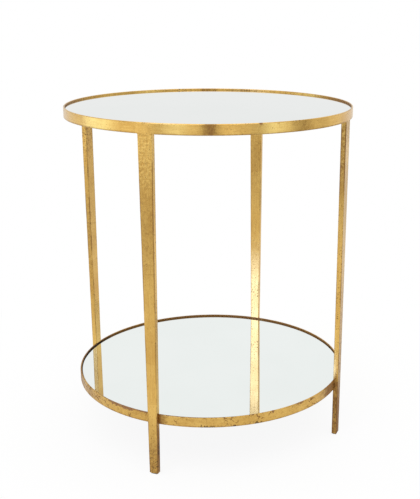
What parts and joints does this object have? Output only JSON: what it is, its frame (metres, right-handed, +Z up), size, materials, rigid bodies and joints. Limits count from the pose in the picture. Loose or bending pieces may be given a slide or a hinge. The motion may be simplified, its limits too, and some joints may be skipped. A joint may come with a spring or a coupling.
{
  "type": "side table",
  "caption": "Round tiered side table: gilt iron hoops on tapered flat-bar legs hold an inset mirror top and a low mirrored shelf.",
  "frame": {"origin": "on the floor under the centre of the table", "axes": "+Z up; -Y is the front; the legs stand on the diagonals between X and Y"},
  "size_m": [0.5599, 0.56, 0.66],
  "materials": {
    "gilt_iron": "antiqued gold leaf on iron",
    "mirror": "polished",
    "backing_board": "fibreboard painted dark brown",
    "seat_pads": "matt",
    "glides": "matt"
  },
  "bodies": {
    "root": {"top_hoop": "gilt_iron", "top_ledge": "gilt_iron", "top_seat_pads": "seat_pads", "top_board": "backing_board", "top_mirror": "mirror", "top_welds": "gilt_iron", "shelf_hoop": "gilt_iron", "shelf_ledge": "gilt_iron", "shelf_seat_pads": "seat_pads", "shelf_board": "backing_board", "shelf_mirror": "mirror", "shelf_welds": "gilt_iron", "front_left_leg": "gilt_iron", "front_left_glide": "glides", "front_right_leg": "gilt_iron", "front_right_glide": "glides", "back_right_leg": "gilt_iron", "back_right_glide": "glides", "back_left_leg": "gilt_iron", "back_left_glide": "glides"}
  },
  "joints": []
}
